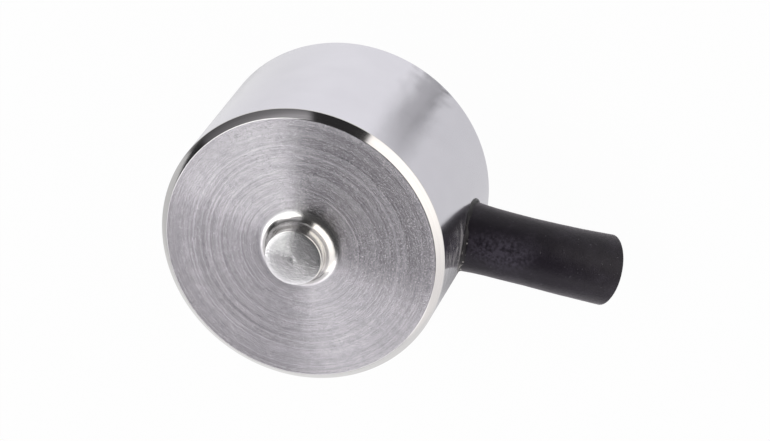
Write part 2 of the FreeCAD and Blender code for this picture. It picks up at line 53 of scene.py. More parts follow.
# %% [markdown]
# The camera looks steeply down on the face and is rolled well past a right angle, so that the side wall shows above
# the face and the lead leaves to the right.
# A long lens keeps the round face nearly a true circle.
# The three directions of the view are written out, because the picture is rolled and no look-at helper gives that.

# %% Camera
SENSOR_WIDTH = 36
LENS = 181.35
CAMERA_PLACE = (0.030597, 0.071929, 0.144314)
camera_data = bpy.data.cameras.new("studio_camera")
camera_data.sensor_width = SENSOR_WIDTH
camera_data.lens = LENS
camera_data.clip_start = 0.01
camera_data.clip_end = 10
camera = bpy.data.objects.new("studio_camera", camera_data)
bpy.context.scene.collection.objects.link(camera)
view_right = Vector((0.9525, 0.1482, -0.2662)).normalized()
view_forward = Vector((-0.1754, -0.4477, -0.8768)).normalized()
view_up = view_right.cross(view_forward).normalized()
view_right = view_forward.cross(view_up)
turn = Matrix((view_right, view_up, -view_forward)).transposed().to_4x4()
camera.matrix_world = Matrix.Translation(CAMERA_PLACE) @ turn
bpy.context.scene.camera = camera
bpy.context.scene.view_settings.view_transform = "Standard"
print("camera stands", round(camera.location.length / MM), "mm from the cell")

# %% [markdown]
# Every finish is a small graph of nodes, and the same few steps come back in each of them.
# Short helpers keep the graphs readable: they add a node, do a sum, split a place into its parts, make a noise,
# turn a range of values into a soft step, and join a result to a socket.

# %% Helpers for node graphs
def add_node(tree, kind, inputs=None, **settings):
    made = tree.nodes.new(kind)
    for name, value in settings.items():
        setattr(made, name, value)
    for name, value in (inputs or {}).items():
        if isinstance(value, bpy.types.NodeSocket):
            tree.links.new(value, made.inputs[name])
        else:
            made.inputs[name].default_value = value
    return made


def sum_node(tree, operation, first, second=0.0):
    return add_node(tree, "ShaderNodeMath", {0: first, 1: second}, operation=operation).outputs[0]


def plus(tree, first, second):
    return sum_node(tree, "ADD", first, second)


def times(tree, first, second):
    return sum_node(tree, "MULTIPLY", first, second)


def vector_node(tree, operation, first, second=(0, 0, 0)):
    made = add_node(tree, "ShaderNodeVectorMath", {0: first, 1: second}, operation=operation)
    return made.outputs["Value" if operation in ("LENGTH", "DISTANCE", "DOT_PRODUCT") else "Vector"]


def split_node(tree, vector):
    return add_node(tree, "ShaderNodeSeparateXYZ", {0: vector}).outputs


def noise_node(tree, spot, detail=3.0, scale=1.0):
    inputs = {"Vector": spot, "Scale": scale, "Detail": detail}
    return add_node(tree, "ShaderNodeTexNoise", inputs).outputs["Fac"]


def place_of(tree):
    return add_node(tree, "ShaderNodeTexCoord").outputs["Object"]


def ramp(tree, value, low, high, start=0.0, end=1.0, kind="SMOOTHSTEP"):
    inputs = {"Value": value, "From Min": low, "From Max": high, "To Min": start, "To Max": end}
    return add_node(tree, "ShaderNodeMapRange", inputs, interpolation_type=kind).outputs["Result"]


def join(node, socket, value):
    node.id_data.links.new(value, node.inputs[socket])


print("helpers for node graphs are ready")

# %% [markdown]
# Bare metal shows only what is round it, so the light is set like a small product studio.
# A low white wall stands on the lead's side, and a bright band of wall across from the camera lights the turned face.
# A black wall stands between +Y and -X, with a sheet of grey paper before it that is lighter towards its top.
# The rest of the room is dim, because a turned face and a polished edge need dark as much as light.
# The walls could be planes, but as directions of the world they cast no shadow and stay out of every other view.

# %% World
ROOM_LEVEL, BLACK_LEVEL, WHITE_LEVEL = 0.05, 0.03, 1.5
BAND_LEVEL, LOW_BACK_LEVEL = 1.85, 0.55
SOFT_EDGE = 0.07
COOL, WARM, WHITE = (1.0, 0.975, 1.02, 1), (1.0, 0.965, 0.93, 1), (1, 1, 1, 1)
world = bpy.data.worlds.new("studio")
bpy.context.scene.world = world
world.use_nodes = True
tree = world.node_tree
direction = add_node(tree, "ShaderNodeTexCoord").outputs["Generated"]
rise = split_node(tree, direction)["Z"]
level_way = vector_node(tree, "NORMALIZE", vector_node(tree, "MULTIPLY", direction, (1, 1, 0)))


def nearness_to(bearing):
    """Cosine of the angle between a direction of the room and a bearing in degrees."""
    ahead = (math.cos(math.radians(bearing)), math.sin(math.radians(bearing)), 0)
    return vector_node(tree, "DOT_PRODUCT", level_way, ahead)


def wall_of_room(middle, half_width, top, soft=1.5, bottom=None):
    """1 in the directions within half_width degrees of a bearing and between two heights, 0 outside."""
    outer, inner = math.cos(math.radians(half_width + soft)), math.cos(math.radians(half_width - soft))
    share = times(tree, ramp(tree, nearness_to(middle), outer, inner),
                  ramp(tree, rise, top - SOFT_EDGE, top + SOFT_EDGE, 1, 0))
    if bottom is not None:
        share = times(tree, share, ramp(tree, rise, bottom - SOFT_EDGE, bottom + SOFT_EDGE))
    return share


black_wall = wall_of_room(133.5, 62.5, 0.6)
paper_tone = plus(tree, ramp(tree, rise, 0.05, 0.33, 0.06, 0.2, "LINEAR"),
                  ramp(tree, rise, 0.33, 0.42, 0.0, 0.22, "LINEAR"))
grey_paper = times(tree, wall_of_room(140.5, 31.5, 0.6, 2.5), paper_tone)
white_wall = wall_of_room(5.5, 65.5, 0.7)
white_wall = times(tree, white_wall, ramp(tree, nearness_to(77), -0.4, 0.7, 0.64, 1.0))
back_wall = plus(tree, times(tree, wall_of_room(255, 58, 0.803, 10, 0.6), BAND_LEVEL),
                 times(tree, wall_of_room(255, 58, 0.6, 10, 0.13), LOW_BACK_LEVEL))
back_wall = times(tree, back_wall, sum_node(tree, "SUBTRACT", 1.0, black_wall))
level = sum_node(tree, "SUBTRACT", ROOM_LEVEL, times(tree, black_wall, ROOM_LEVEL - BLACK_LEVEL))
level = plus(tree, level, grey_paper)
level = plus(tree, level, times(tree, white_wall, WHITE_LEVEL))
level = plus(tree, level, back_wall)
seen = add_node(tree, "ShaderNodeLightPath").outputs["Is Camera Ray"]
level = add_node(tree, "ShaderNodeMix", {0: seen, 2: level, 3: 1.0}, data_type="FLOAT").outputs[0]
tint = add_node(tree, "ShaderNodeMix", {0: white_wall, 6: COOL, 7: WARM}, data_type="RGBA").outputs[2]
tint = add_node(tree, "ShaderNodeMix", {0: seen, 6: tint, 7: WHITE}, data_type="RGBA").outputs[2]
join(tree.nodes["Background"], "Strength", level)
join(tree.nodes["Background"], "Color", tint)
print("room has a black wall with grey paper, a white wall and a bright back wall, and is", ROOM_LEVEL, "elsewhere")

# %% [markdown]
# A large soft lamp hangs high on the -X side, at the left of the picture. It makes the wide bright crescent at the
# button's foot. A spot would leave hard points of light on steel, so a wide area lamp close by is used.

# %% Soft lamp
LAMP_BEARING, LAMP_HEIGHT, LAMP_ROLL = math.radians(168.4), math.radians(55.2), math.radians(17.5)
LAMP_DISTANCE = 0.3
LAMP_SIZE = (0.32, 0.178)
LAMP_POWER = 0.3
lamp_data = bpy.data.lights.new("left_soft_lamp", "AREA")
lamp_data.shape = "RECTANGLE"
lamp_data.size, lamp_data.size_y = LAMP_SIZE
lamp_data.energy = LAMP_POWER
lamp = bpy.data.objects.new("left_soft_lamp", lamp_data)
bpy.context.scene.collection.objects.link(lamp)
lamp_way = Vector((math.cos(LAMP_BEARING) * math.cos(LAMP_HEIGHT), math.sin(LAMP_BEARING) * math.cos(LAMP_HEIGHT),
                   math.sin(LAMP_HEIGHT)))
lamp.location = lamp_way * LAMP_DISTANCE
facing = (-lamp_way).to_track_quat("-Z", "Y") @ Quaternion((0, 0, 1), LAMP_ROLL)
lamp.rotation_euler = facing.to_euler()
lamp.visible_camera = False
print("soft lamp hangs at the left,", LAMP_DISTANCE, "m from the cell")

# %% [markdown]
# The floor is one pale sheet. Seen directly it is nearly white, and part of its own shading stays in,
# so that the cell keeps its soft shadow. A brighter lamp could whiten it too, but would burn out the steel.
# Steel mirrors the floor as well. For those reflections alone, shade is painted into the floor: it is dimmer in one
# far corner, behind the black wall and under the lead, as a floor in shadow is.

# %% Floor
FLOOR_WIDTH = 3.0
FLOOR_LEVEL = -0.00003
GLOW_SHARE, GLOW_SHARE_SEEN = 0.8, 0.17
# Strengths of the shade painted into the floor's reflections.
CORNER_DIM, LEAD_DIM, WALL_DIM = 0.3, 0.6, 0.9
UNDER_LEAD = (0.0059, -0.0033, 0)


def stage_sheet(name, width):
    sheet = bmesh.new()
    bmesh.ops.create_grid(sheet, x_segments=1, y_segments=1, size=0.5)
    bmesh.ops.scale(sheet, vec=(width, width, 1), verts=sheet.verts)
    mesh = bpy.data.meshes.new(name)
    sheet.to_mesh(mesh)
    sheet.free()
    piece = bpy.data.objects.new(name, mesh)
    bpy.context.scene.collection.objects.link(piece)
    material = bpy.data.materials.new(name + "_paper")
    material.use_nodes = True
    mesh.materials.append(material)
    return piece, material.node_tree


floor, tree = stage_sheet("floor", FLOOR_WIDTH)
floor.location.z = FLOOR_LEVEL
ray = add_node(tree, "ShaderNodeLightPath").outputs
direct = sum_node(tree, "MAXIMUM", ray["Is Camera Ray"], ray["Is Glossy Ray"])
direct = sum_node(tree, "MAXIMUM", direct, ray["Is Transmission Ray"])
share = plus(tree, times(tree, direct, GLOW_SHARE), times(tree, ray["Is Camera Ray"], GLOW_SHARE_SEEN))
place = place_of(tree)
spot = split_node(tree, place)
# Painted shade: masks that darken the floor for glossy rays only, in a far corner, behind the black wall and under
# the lead.
painted_shade_far_corner = times(tree, ramp(tree, spot["X"], -0.010, -0.028), ramp(tree, spot["Y"], 0.001, -0.006))
painted_shade_behind_wall = times(tree, ramp(tree, spot["X"], -0.02, -0.05), ramp(tree, spot["Y"], -0.010, 0.004))
painted_shadow_under_lead = ramp(tree, vector_node(tree, "DISTANCE", place, UNDER_LEAD), 0.003, 0.0006)
dim = sum_node(tree, "MAXIMUM", times(tree, painted_shade_far_corner, CORNER_DIM), times(tree, painted_shadow_under_lead, LEAD_DIM))
dim = sum_node(tree, "MAXIMUM", dim, times(tree, painted_shade_behind_wall, WALL_DIM))
strength = sum_node(tree, "SUBTRACT", 1.0, times(tree, dim, ray["Is Glossy Ray"]))
diffuse = add_node(tree, "ShaderNodeBsdfDiffuse", {"Color": (0.9, 0.9, 0.9, 1)})
glow = add_node(tree, "ShaderNodeEmission", {"Color": WHITE, "Strength": strength})
both = add_node(tree, "ShaderNodeMixShader", {0: share, 1: diffuse.outputs[0], 2: glow.outputs[0]})
join(tree.nodes["Material Output"], "Surface", both.outputs[0])
print("floor is", floor.dimensions.x, "m wide")

# %% [markdown]
# Round the can lies a painted shadow, a thin dark sheet on the floor. The camera doesn't see it, but the wall mirrors
# it as a dim right side, a soft dark stripe and a faint dimming at the left: painted shade, which is what gives a
# round wall its shape in a picture.
# Lines of equal bearing on a round mirror meet half a radius inside it, so the sheet's pattern is drawn round there.
# The stripe fades away from the can, and strokes of noise feather its edges, because fine-turned steel blurs them so.

# %% Painted shadow round the can
SHADOW_SHEET_WIDTH = 0.03
SHADOW_SHEET_MIDDLE = (0.0012, 0.00283)
RIGHT_COVER, LEFT_COVER, STRIPE_COVER = 0.19, 0.08, 0.47
FEATHER = 8
# A painted shadow sheet: hidden from the camera, from diffuse light and from shadows, seen only where steel mirrors
# it.
shadow_sheet, tree = stage_sheet("painted_shadow_sheet", SHADOW_SHEET_WIDTH)
shadow_sheet.location = (*SHADOW_SHEET_MIDDLE, FLOOR_LEVEL / 2)
shadow_sheet.visible_camera = False
shadow_sheet.visible_diffuse = False
shadow_sheet.visible_shadow = False
place = place_of(tree)
spot = split_node(tree, place)
reach = vector_node(tree, "LENGTH", place)
bearing = times(tree, sum_node(tree, "ARCTAN2", spot["Y"], spot["X"]), math.degrees(1))
strokes = {0: times(tree, reach, 8000), 1: times(tree, bearing, 0.07)}
strokes = noise_node(tree, add_node(tree, "ShaderNodeCombineXYZ", strokes).outputs[0])
feathered = plus(tree, bearing, ramp(tree, strokes, 0.3, 0.7, -FEATHER, FEATHER, "LINEAR"))
right_side = times(tree, ramp(tree, bearing, 36, 58, RIGHT_COVER, 0.0), ramp(tree, bearing, -130, -95))
left_side = ramp(tree, sum_node(tree, "ABSOLUTE", bearing), 120, 165, 0.0, LEFT_COVER)
stripe = times(tree, ramp(tree, feathered, 33, 50), ramp(tree, feathered, 55, 81, 1, 0))
stripe = times(tree, stripe, ramp(tree, reach, 0.0052, 0.0075, 1.0, 0.5))
# How dark the painted shadow is at each bearing and distance from the can.
cover = plus(tree, right_side, times(tree, stripe, STRIPE_COVER))
cover = plus(tree, cover, left_side)
clear = add_node(tree, "ShaderNodeBsdfTransparent")
dark = add_node(tree, "ShaderNodeBsdfDiffuse", {"Color": (0.05, 0.05, 0.05, 1)})
both = add_node(tree, "ShaderNodeMixShader", {0: cover, 1: clear.outputs[0], 2: dark.outputs[0]})
join(tree.nodes["Material Output"], "Surface", both.outputs[0])
print("dark card is", round(shadow_sheet.dimensions.x / MM, 1), "mm wide")

# %% [markdown]
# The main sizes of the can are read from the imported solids, in millimetres, so the dressed can fits them exactly.
# The button's height and the web's thickness can't be read from a box, so they are written here.

# %% Main sizes
def size_of(node):
    low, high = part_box(node)
    return [round(value / MM, 4) for value in low], [round(value / MM, 4) for value in high]


can_low, can_high = size_of("sensing_body")
board_low, board_high = size_of("terminal_board")
CAN_RADIUS = (can_high[0] - can_low[0]) / 2
BUTTON_TOP = can_high[2]
BUTTON_HEIGHT = 1.05
FACE = BUTTON_TOP - BUTTON_HEIGHT
WEB = 0.9
LAND = 0.035
SEAT = size_of("back_cover")[1][2]
LEDGE = round(board_high[2] - LAND, 3)
print("can is", CAN_RADIUS * 2, "mm across and", FACE, "mm high, button to", BUTTON_TOP)

# %% [markdown]
# The can is one turned piece, so its section is drawn once and spun round the load axis.
# A facing tool leaves a spiral of shallow steps. They are cut here as real grooves, each with its own feed and slope,
# because a row of slopes that differ by a degree or two is what makes single rings flash on a turned face.
# The button's top is crowned by a few hundredths, as load buttons are, with the small dimple that facing leaves.

# %% Section of the can
BUTTON_RADIUS = 1.2
BUTTON_ROOT = 0.55
CROWN = 0.05
DIMPLE_RADIUS, DIMPLE_DEPTH = 0.07, 0.01
BEVEL, RIM_BEVEL = 0.3, 0.15
SEAT_RADIUS, BOARD_RADIUS, CAVITY_RADIUS, BOSS_RADIUS = 5.0, 4.5, 4.0, 1.4
CAVITY_TOP = FACE - WEB
BOSS_END = CAVITY_TOP - 0.8
CAVITY_ROUND = 0.2
GROOVE_STEP = 0.005
chance = random.Random(11)
section = [(0.0, BUTTON_TOP - DIMPLE_DEPTH, 0.0), (DIMPLE_RADIUS, BUTTON_TOP - 0.001, 0.0)]
for step in (0.2, 0.4, 0.6, 0.8):
    section.append((BUTTON_RADIUS * step, BUTTON_TOP - CROWN * step ** 2, 0.0))
section.append((BUTTON_RADIUS, BUTTON_TOP - CROWN, 0.04))
section.append((BUTTON_RADIUS, FACE, BUTTON_ROOT))
grooves = 0
radius = BUTTON_RADIUS + BUTTON_ROOT + 0.05
while radius < CAN_RADIUS - BEVEL - 0.15:
    feed = chance.uniform(0.07, 0.11)
    slope = math.radians(chance.gauss(2.5, 1.35))
    drop = feed * math.tan(abs(slope))
    section.append((radius, FACE - (drop if slope < 0 else 0), 0.0))
    section.append((radius + feed - GROOVE_STEP, FACE - (drop if slope > 0 else 0), 0.0))
    radius += feed
    grooves += 1
section += [
    (CAN_RADIUS - BEVEL, FACE, 0.018),
    (CAN_RADIUS, FACE - BEVEL, 0.03),
    (CAN_RADIUS, RIM_BEVEL, 0.02),
    (CAN_RADIUS - RIM_BEVEL, 0.0, 0.02),
    (SEAT_RADIUS, 0.0, 0.03),
    (SEAT_RADIUS, SEAT, 0.0),
    (BOARD_RADIUS, SEAT, 0.0),
    (BOARD_RADIUS, LEDGE, 0.0),
    (CAVITY_RADIUS, LEDGE, 0.0),
    (CAVITY_RADIUS, CAVITY_TOP, CAVITY_ROUND),
    (BOSS_RADIUS, CAVITY_TOP, CAVITY_ROUND),
    (BOSS_RADIUS, BOSS_END, 0.0),
    (0.0, BOSS_END, 0.0),
]
turning = bmesh.new()
corners = [turning.verts.new((radius, 0, height)) for radius, height, rounding in section]
for first, second in zip(corners, corners[1:]):
    turning.edges.new((first, second))
for corner, (radius, height, rounding) in zip(corners, section):
    if rounding > 0:
        bmesh.ops.bevel(turning, geom=[corner], offset=rounding, offset_type="OFFSET", affect="VERTICES",
                        segments=24 if rounding > 0.3 else 5, profile=0.5, material=-1)
print("section of the can has", len(turning.verts), "points and", grooves, "grooves")

# %% [markdown]
# On the lathe the piece turns and the tool stands still; here the section turns instead.
# A screw modifier could do it, but the spin operator gives the finished mesh at once, closed by merging the last step
# with the first.

# %% Spin the can
TURN_STEPS = 288
bmesh.ops.spin(turning, geom=turning.verts[:] + turning.edges[:], cent=(0, 0, 0), axis=(0, 0, 1), angle=math.tau,
               steps=TURN_STEPS, use_merge=True)
bmesh.ops.remove_doubles(turning, verts=turning.verts, dist=1e-4)
bmesh.ops.recalc_face_normals(turning, faces=turning.faces)
print("spun can has", len(turning.faces), "faces")

# %% [markdown]
# The surfaces of the can were cut in different passes: the face with a coarse feed, the wall with a fine one,
# and the bevel and the button with a polishing stroke.
# Each pass gets its own finish, and the edges between passes are sharp, so that the flats stay flat.

# %% Passes of the tool on the can
PASSES = ["turned_face", "polished_bevel", "satin_wall", "polished_button", "turned_button_top", "bored_inside"]
FACE_PASS = PASSES.index("turned_face")
NEAR = 0.03


def pass_of(face):
    middle = face.calc_center_median()
    radius = math.hypot(middle.x, middle.y)
    if middle.z < FACE - 0.05 and radius < CAN_RADIUS - 0.5:
        return "bored_inside"
    if radius > CAN_RADIUS - BEVEL - NEAR and middle.z > FACE - BEVEL - NEAR:
        return "polished_bevel"
    if middle.z < FACE - BEVEL:
        return "satin_wall"
    if middle.z > BUTTON_TOP - CROWN - 0.001:
        return "turned_button_top"
    if radius < BUTTON_RADIUS + BUTTON_ROOT:
        return "polished_button"
    return "turned_face"


def is_ring(edge):
    first, second = (vertex.co for vertex in edge.verts)
    return abs(first.xy.length - second.xy.length) < 0.002


for face in turning.faces:
    face.material_index = PASSES.index(pass_of(face))
    face.smooth = True
for edge in turning.edges:
    first, second = (face.material_index for face in edge.link_faces)
    corner = edge.calc_face_angle() > math.radians(25)
    edge.smooth = not (first != second or corner or first == FACE_PASS and is_ring(edge))
counts = [sum(face.material_index == number for face in turning.faces) for number in range(len(PASSES))]
print("faces of each pass:", dict(zip(PASSES, counts)))

# %% [markdown]
# The shapes are drawn in millimetres, and every finished piece is handed over in the same way.
# It is scaled to metres, gets its finishes, rides on the body and hides the solids that it stands for.
# A round surface is shaded smooth between its true corners.

# %% Helpers that finish a piece
def shade_smooth(shape, limit):
    """Smooth shading, apart from edges that turn by more than a limit in degrees."""
    for face in shape.faces:
        face.smooth = True
    for edge in shape.edges:
        edge.smooth = edge.calc_face_angle() < math.radians(limit)


def finish_piece(shape, name, finishes, replaced=()):
    bmesh.ops.scale(shape, vec=(MM, MM, MM), verts=shape.verts)
    mesh = bpy.data.meshes.new(name)
    shape.to_mesh(mesh)
    shape.free()
    piece = bpy.data.objects.new(name, mesh)
    bpy.context.scene.collection.objects.link(piece)
    for finish in finishes:
        mesh.materials.append(finish)
    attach(piece, "root")
    for node in replaced:
        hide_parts(node)
    print(name, "has", len(mesh.polygons), "faces and", len(mesh.materials), "finishes")
    return piece


print("helpers for pieces are ready, 1 mm is", MM, "m")

# %% [markdown]
# A cutting tool leaves marks that run round the axis. Two things show them.
# The shader spreads its reflections across the marks, which makes the bright fans on a turned face,
# and a noise that changes fast across the marks but slowly along them tones the single rings.

# %% Helpers for steel
def steel(name, colour, roughness, spread):
    finish = bpy.data.materials.new(name)
    finish.use_nodes = True
    shader = finish.node_tree.nodes["Principled BSDF"]
    shader.inputs["Base Color"].default_value = (*colour, 1)
    shader.inputs["Metallic"].default_value = 1.0
    shader.inputs["Roughness"].default_value = roughness
    shader.inputs["Anisotropic"].default_value = spread
    shader.inputs["Anisotropic Rotation"].default_value = 0.25
    tangent = add_node(finish.node_tree, "ShaderNodeTangent", direction_type="RADIAL", axis="Z")
    join(shader, "Tangent", tangent.outputs[0])
    return finish, finish.node_tree, shader


def marks(tree, pitch, arcs, along_wall=False, detail=3.0):
    """Noise across the tool marks in steps of pitch millimetres, with a few changes round the axis."""
    place = place_of(tree)
    flat = vector_node(tree, "MULTIPLY", place, (1, 1, 0))
    around = split_node(tree, vector_node(tree, "NORMALIZE", flat))
    across = split_node(tree, place)["Z"] if along_wall else vector_node(tree, "LENGTH", flat)
    steps = times(tree, across, 1 / (pitch * MM))
    east, north = times(tree, around["X"], arcs), times(tree, around["Y"], arcs)
    return noise_node(tree, add_node(tree, "ShaderNodeCombineXYZ", {0: steps, 1: east, 2: north}).outputs[0], detail)


def grain(tree, size, detail=2.0):
    """Noise with no direction, in grains of about size millimetres."""
    return noise_node(tree, place_of(tree), detail, 1 / (size * MM))


def patch(tree, middle, stretch, inner, outer):
    """1 near a point of the piece in millimetres, fading to 0, with distances stretched along the axes."""
    away = vector_node(tree, "SUBTRACT", place_of(tree), tuple(value * MM for value in middle))
    distance = vector_node(tree, "LENGTH", vector_node(tree, "MULTIPLY", away, stretch))
    return ramp(tree, distance, inner * MM, outer * MM, 1, 0)


def round_patch(tree, inner, outer):
    """1 near the load axis, fading to 0 between two radii."""
    return patch(tree, (0, 0, 0), (1, 1, 0), inner, outer)


def two_tone(tree, share, low, high):
    """Blend of two colours, each a fixed one or the result of another node."""
    low, high = (tone if isinstance(tone, bpy.types.NodeSocket) else (*tone, 1) for tone in (low, high))
    return add_node(tree, "ShaderNodeMix", {0: share, 6: low, 7: high}, data_type="RGBA").outputs[2]


def relief(tree, shader, height, depth):
    """Bump of a depth in millimetres."""
    bump = add_node(tree, "ShaderNodeBump", {"Strength": 1.0, "Distance": depth * MM, "Height": height})
    join(shader, "Normal", bump.outputs[0])


print("helpers for steel are ready")

# %% [markdown]
# The face is turned with a coarse feed. Its rings differ in tone, short torn marks lie between them, and there are
# tiny bright burrs and dark pits, with more burrs along the outer edge. A scanned texture could show all that, but
# layers of noise stay sharp at every distance. The bevel is a narrow polished edge with a few fine rings.

# %% Face and bevel
turned_face, tree, shader = steel("turned_face", (0.57, 0.56, 0.58), roughness=0.265, spread=1.0)
rings = marks(tree, 0.04, 0.5)
short = marks(tree, 0.035, 7.0)
cloud = grain(tree, 0.35, 4.0)
specks = ramp(tree, grain(tree, 0.055), 0.60, 0.70)
pits = ramp(tree, grain(tree, 0.065), 0.40, 0.30)
at_edge = sum_node(tree, "SUBTRACT", 1.0, round_patch(tree, 5.4, 5.62))
nicks = times(tree, at_edge, ramp(tree, grain(tree, 0.06), 0.58, 0.66))
specks = sum_node(tree, "MAXIMUM", specks, nicks)
tone = plus(tree, ramp(tree, rings, 0.25, 0.75, 0.2, 0.8, "LINEAR"), times(tree, specks, 0.8))
tone = sum_node(tree, "SUBTRACT", tone, times(tree, pits, 0.75))
tone = plus(tree, tone, ramp(tree, short, 0.3, 0.7, -0.12, 0.12, "LINEAR"))
tone = plus(tree, tone, ramp(tree, cloud, 0.3, 0.7, -0.16, 0.16, "LINEAR"))
join(shader, "Base Color", two_tone(tree, tone, (0.452, 0.441, 0.461), (0.672, 0.656, 0.675)))
height = plus(tree, rings, sum_node(tree, "SUBTRACT", specks, pits))
relief(tree, shader, plus(tree, height, times(tree, short, 0.4)), 0.003)

polished_bevel, tree, shader = steel("polished_bevel", (0.7, 0.69, 0.685), roughness=0.12, spread=0.4)
rings = marks(tree, 0.05, 2.0)
join(shader, "Base Color", two_tone(tree, rings, (0.64, 0.63, 0.625), (0.76, 0.75, 0.745)))
relief(tree, shader, rings, 0.0006)
print("face and bevel have", turned_face.name, "and", polished_bevel.name)

# %% [markdown]
# The wall is fine-turned and polished enough to mirror the black sleeve beside its root.
# That dark image needs no paint: a low roughness is enough. Near the lead the steel was handled, so dust lies
# there in streaks along the marks and in single flecks, and dust is no metal.

# %% Wall
DUST = (0.42, 0.41, 0.40)
satin_wall, tree, shader = steel("satin_wall", (0.8, 0.79, 0.86), roughness=0.3, spread=0.5)
cloud = plus(tree, times(tree, marks(tree, 0.08, 0.8, True), 0.15), times(tree, grain(tree, 1.6), 0.85))
metal_tone = two_tone(tree, cloud, (0.705, 0.692, 0.752), (0.812, 0.799, 0.859))
streaks = ramp(tree, marks(tree, 0.5, 5.0, True, 2.0), 0.42, 0.68, 0.08, 0.6)
flecks = ramp(tree, grain(tree, 0.1, 3.0), 0.66, 0.72)
near_lead = patch(tree, (5.95, 0.3, 5.6), (0.3, 1.0, 0.55), 0.7, 1.5)
cover = times(tree, near_lead, sum_node(tree, "MAXIMUM", streaks, flecks))
join(shader, "Base Color", two_tone(tree, cover, metal_tone, DUST))
join(shader, "Metallic", sum_node(tree, "SUBTRACT", 1.0, cover))
join(shader, "Roughness", ramp(tree, cloud, 0.3, 0.7, 0.13, 0.17))
relief(tree, shader, plus(tree, grain(tree, 0.5), cover), 0.003)
print("wall has", satin_wall.name)

# %% [markdown]
# The button is bright on its side and runs out into the coarser finish of the face at its foot, so one finish blends
# into the other with the distance from the axis.
# Its top was dressed slightly out of square, which leaves one half pale and the other dark. It is scratched by use:
# the slope and the scratches go into the relief, because the solid's top is a flat mount.

# %% Button
polished_button, tree, shader = steel("polished_button", (0.8, 0.79, 0.77), roughness=0.26, spread=0.3)
soft = grain(tree, 0.2)
polish = round_patch(tree, 1.46, 1.77)
bright = two_tone(tree, soft, (0.83, 0.82, 0.79), (0.95, 0.94, 0.91))
join(shader, "Base Color", two_tone(tree, polish, (0.56, 0.55, 0.57), bright))
join(shader, "Roughness", ramp(tree, polish, 0.0, 1.0, 0.27, 0.2))
join(shader, "Anisotropic", ramp(tree, polish, 0.0, 1.0, 1.0, 0.3))
relief(tree, shader, soft, 0.003)

TOP_TILT = math.radians(2.0)
TOP_DEPTH = 0.0022
turned_button_top, tree, shader = steel("turned_button_top", (0.8, 0.8, 0.79), roughness=0.26, spread=0.72)
rings = marks(tree, 0.04, 1.0)
swirl = marks(tree, 0.09, 3.0)
scuffs = grain(tree, 0.12, 4.0)
drawn_out = vector_node(tree, "MULTIPLY", place_of(tree), (2500, 14000, 1))
scratches = ramp(tree, noise_node(tree, drawn_out), 0.5, 0.7)
tone = times(tree, plus(tree, rings, swirl), 0.25)
tone = plus(tree, tone, times(tree, scuffs, 0.45))
tone = plus(tree, tone, times(tree, scratches, 0.1))
join(shader, "Base Color", two_tone(tree, tone, (0.55, 0.55, 0.55), (1.0, 1.0, 0.99)))
across = split_node(tree, place_of(tree))["Y"]
out_of_square = times(tree, across, -math.tan(TOP_TILT) / (TOP_DEPTH * MM))
marked = plus(tree, plus(tree, rings, scuffs), times(tree, scratches, 0.6))
relief(tree, shader, plus(tree, marked, out_of_square), TOP_DEPTH)
print("button has", polished_button.name, "and", turned_button_top.name)

# %% [markdown]
# Inside, the can is bored and left as the tool leaves it: duller, with coarse marks round the axis.
# Nobody sees it in the closed cell, but a cut through the model shows it, so it gets a finish of its own.

# %% Inside of the can
bored_inside, tree, shader = steel("bored_inside", (0.6, 0.6, 0.61), roughness=0.4, spread=0.5)
lines = marks(tree, 0.12, 1.0, True)
join(shader, "Base Color", two_tone(tree, lines, (0.54, 0.54, 0.55), (0.66, 0.66, 0.67)))
relief(tree, shader, lines, 0.003)
can_finishes = [turned_face, polished_bevel, satin_wall, polished_button, turned_button_top, bored_inside]
print("steel finishes:", [finish.name for finish in can_finishes])

# %% [markdown]
# The lead leaves through a stepped bore in the wall. A Boolean with a spun drill cuts it, and the result is kept as
# the can's own mesh, so that no modifier stays on it.

# %% Bore for the lead
LEAD_HEIGHT = 2.9083
SLEEVE_RADIUS = 1.4355
SEAL_RADIUS = 1.56
PORT_RADIUS = 0.997
SLEEVE_START = 5.2
DRILL_FROM, DRILL_TO = 3.6, 7.2
can = finish_piece(turning, "turned_can", can_finishes, ["sensing_body"])
drill = bmesh.new()
outline = [(DRILL_FROM, 0.0), (DRILL_FROM, PORT_RADIUS), (SLEEVE_START, PORT_RADIUS), (SLEEVE_START, SEAL_RADIUS),
           (DRILL_TO, SEAL_RADIUS), (DRILL_TO, 0.0)]
points = [drill.verts.new((along, 0, LEAD_HEIGHT + radius)) for along, radius in outline]
for first, second in zip(points, points[1:]):
    drill.edges.new((first, second))
bmesh.ops.spin(drill, geom=drill.verts[:] + drill.edges[:], cent=(0, 0, LEAD_HEIGHT), axis=(1, 0, 0),
               angle=math.tau, steps=96, use_merge=True)
bmesh.ops.remove_doubles(drill, verts=drill.verts, dist=1e-4)
bmesh.ops.recalc_face_normals(drill, faces=drill.faces)
bmesh.ops.scale(drill, vec=(MM, MM, MM), verts=drill.verts)
drill_mesh = bpy.data.meshes.new("drill")
drill.to_mesh(drill_mesh)
drill.free()
drill_tool = bpy.data.objects.new("drill", drill_mesh)
bpy.context.scene.collection.objects.link(drill_tool)
cut = can.modifiers.new("lead_bore", "BOOLEAN")
cut.operation = "DIFFERENCE"
cut.solver = "EXACT"
cut.object = drill_tool
bored = bpy.data.meshes.new_from_object(can.evaluated_get(bpy.context.evaluated_depsgraph_get()))
can.modifiers.clear()
can.data = bored
bored.name = "turned_can"
bpy.data.objects.remove(drill_tool)
again = bmesh.new()
again.from_mesh(bored)
open_edges = sum(1 for edge in again.edges if len(edge.link_faces) != 2)
triangles = sum(len(face.verts) - 2 for face in again.faces)
again.free()
print("bored can has", triangles, "triangles and", open_edges, "open edges")

# %% [markdown]
# The lead runs straight out of the wall and then droops in an arc that leans a little to one side.
# A curve object could carry that route, but a radius, an angle and an axis describe it fully, and every point of
# the sleeve can then ask how far along it lies.

